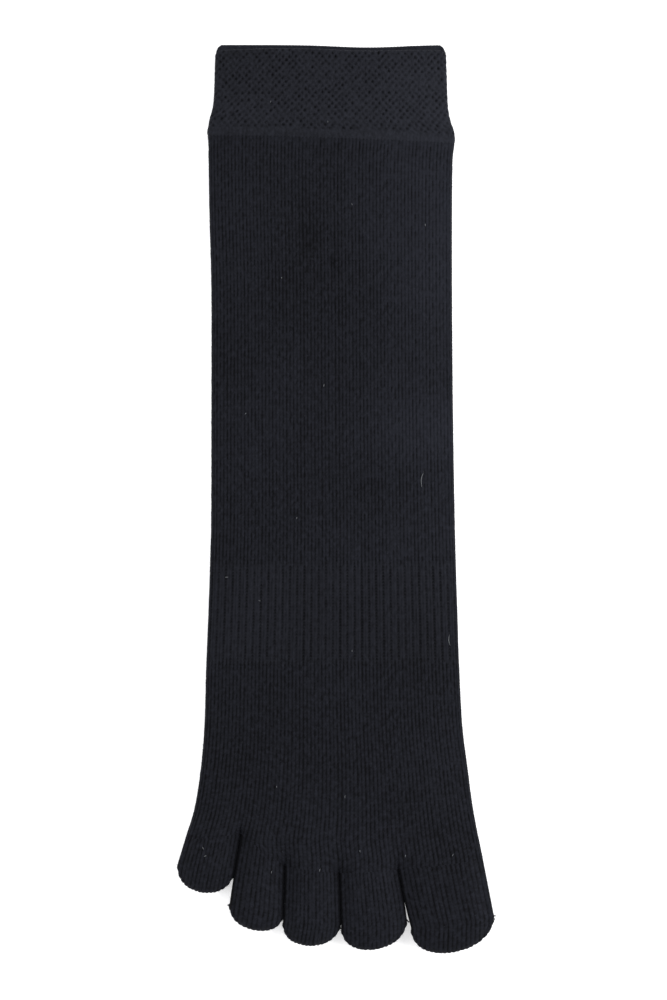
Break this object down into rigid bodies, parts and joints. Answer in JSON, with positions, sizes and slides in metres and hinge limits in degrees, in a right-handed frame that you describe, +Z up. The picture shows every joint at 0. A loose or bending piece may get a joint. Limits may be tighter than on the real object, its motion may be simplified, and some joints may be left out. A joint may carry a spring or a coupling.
{
  "type": "toe sock",
  "caption": "Black knitted sock with separate toes, lying flat with its instep up: dimpled cuff, plain leg and foot, ribbed arch band, and a closed tube for each toe.",
  "frame": {"origin": "middle of the bounding box, on the surface that the sock lies on", "axes": "+X across the sock towards the big toe, +Y along it from the toes to the cuff, +Z up out of the instep"},
  "size_m": [0.1152, 0.3326, 0.0102],
  "materials": {
    "cuff_knit": "matte black tuck-stitch knit with small dimples",
    "plain_knit": "matte black plain jersey knit",
    "heel_knit": "matte black plain jersey knit",
    "arch_rib": "matte black fine-ribbed knit",
    "toe_knit": "matte black plain jersey knit"
  },
  "bodies": {
    "root": {"cuff": "cuff_knit", "leg": "plain_knit", "heel": "heel_knit", "instep": "plain_knit", "arch_band": "arch_rib", "forefoot": "plain_knit", "little_toe": "toe_knit", "fourth_toe": "toe_knit", "middle_toe": "toe_knit", "second_toe": "toe_knit", "big_toe": "toe_knit"}
  },
  "joints": []
}
